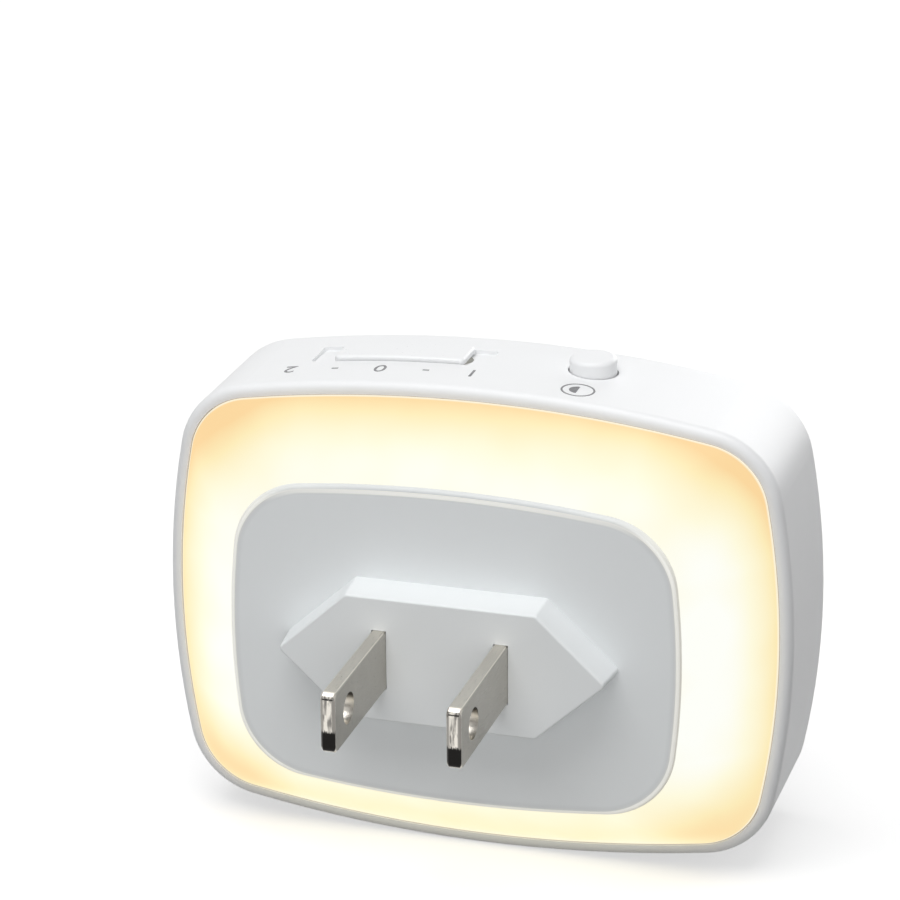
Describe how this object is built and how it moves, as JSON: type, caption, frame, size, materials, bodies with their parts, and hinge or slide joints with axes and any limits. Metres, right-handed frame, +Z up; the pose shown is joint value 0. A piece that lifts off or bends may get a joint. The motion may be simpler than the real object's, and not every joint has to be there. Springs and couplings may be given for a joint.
{
  "type": "plug-in night light",
  "caption": "Plug-in night light with motion dome, light-sensor slots, glowing ring round the plug panel, mode slider and push button.",
  "frame": {"origin": "middle of the plug's hexagonal face, which seats against the outlet", "axes": "+Y into the wall along the blades, +Z up, +X to the right seen from the front"},
  "size_m": [0.0666, 0.0484, 0.0521],
  "materials": {
    "housing_white": "satin moulded plastic",
    "panel_white": "satin moulded plastic",
    "diffuser": "milky translucent, lit from inside",
    "blade_metal": "nickel plated brass",
    "screw_steel": "zinc plated",
    "wire_red": "smooth insulation",
    "wire_black": "smooth insulation",
    "lens_milky": "milky translucent dome",
    "can_metal": "drawn can",
    "sensor_clear": "clear resin",
    "black_plastic": "moulded black",
    "switch_frame": "tinned frame",
    "board_green": "solder mask",
    "board_white": "white solder mask",
    "led_package": "phosphor window",
    "film_case": "moulded box",
    "can_sleeve": "shrunk sleeve",
    "resistor_body": "lacquered body",
    "chip_part": "ceramic chip"
  },
  "bodies": {
    "casing": {"front_housing": "housing_white", "diffuser_ring": "diffuser", "rear_panel": "panel_white", "blade_left": "blade_metal", "blade_right": "blade_metal", "blade_holder": "panel_white", "holder_screws": "screw_steel", "live_wire": "wire_red", "neutral_wire": "wire_black", "pir_lens": "lens_milky", "lens_clamp": "panel_white", "pir_sensor": "can_metal", "light_sensor": "sensor_clear", "light_shroud": "black_plastic", "mode_switch": "switch_frame", "tact_switch": "black_plastic", "control_board": "board_green", "led_board": "board_white", "leds": "led_package", "board_link": "black_plastic", "board_screws": "screw_steel", "led_board_screws": "screw_steel", "film_capacitor": "film_case", "smoothing_capacitor": "can_sleeve", "bridge_rectifier": "black_plastic", "control_chip": "black_plastic", "fuse_resistor": "resistor_body", "bleed_resistor": "resistor_body", "surface_parts": "chip_part"},
    "mode_slider": {"mode_knob": "housing_white", "knob_carriage": "panel_white", "mode_switch_slider": "black_plastic"},
    "button": {"button_cap": "housing_white", "tact_plunger": "black_plastic"}
  },
  "joints": [
    {"name": "mode_slide", "type": "slide", "parent": "casing", "child": "mode_slider", "axis": [1, 0, 0], "range_m": [-0.002, 0.002]},
    {"name": "button_press", "type": "slide", "parent": "casing", "child": "button", "axis": [0, 0, -1], "range_m": [0, 0.0004], "stiffness_N_per_m": 1000, "springref_m": -0.001}
  ]
}
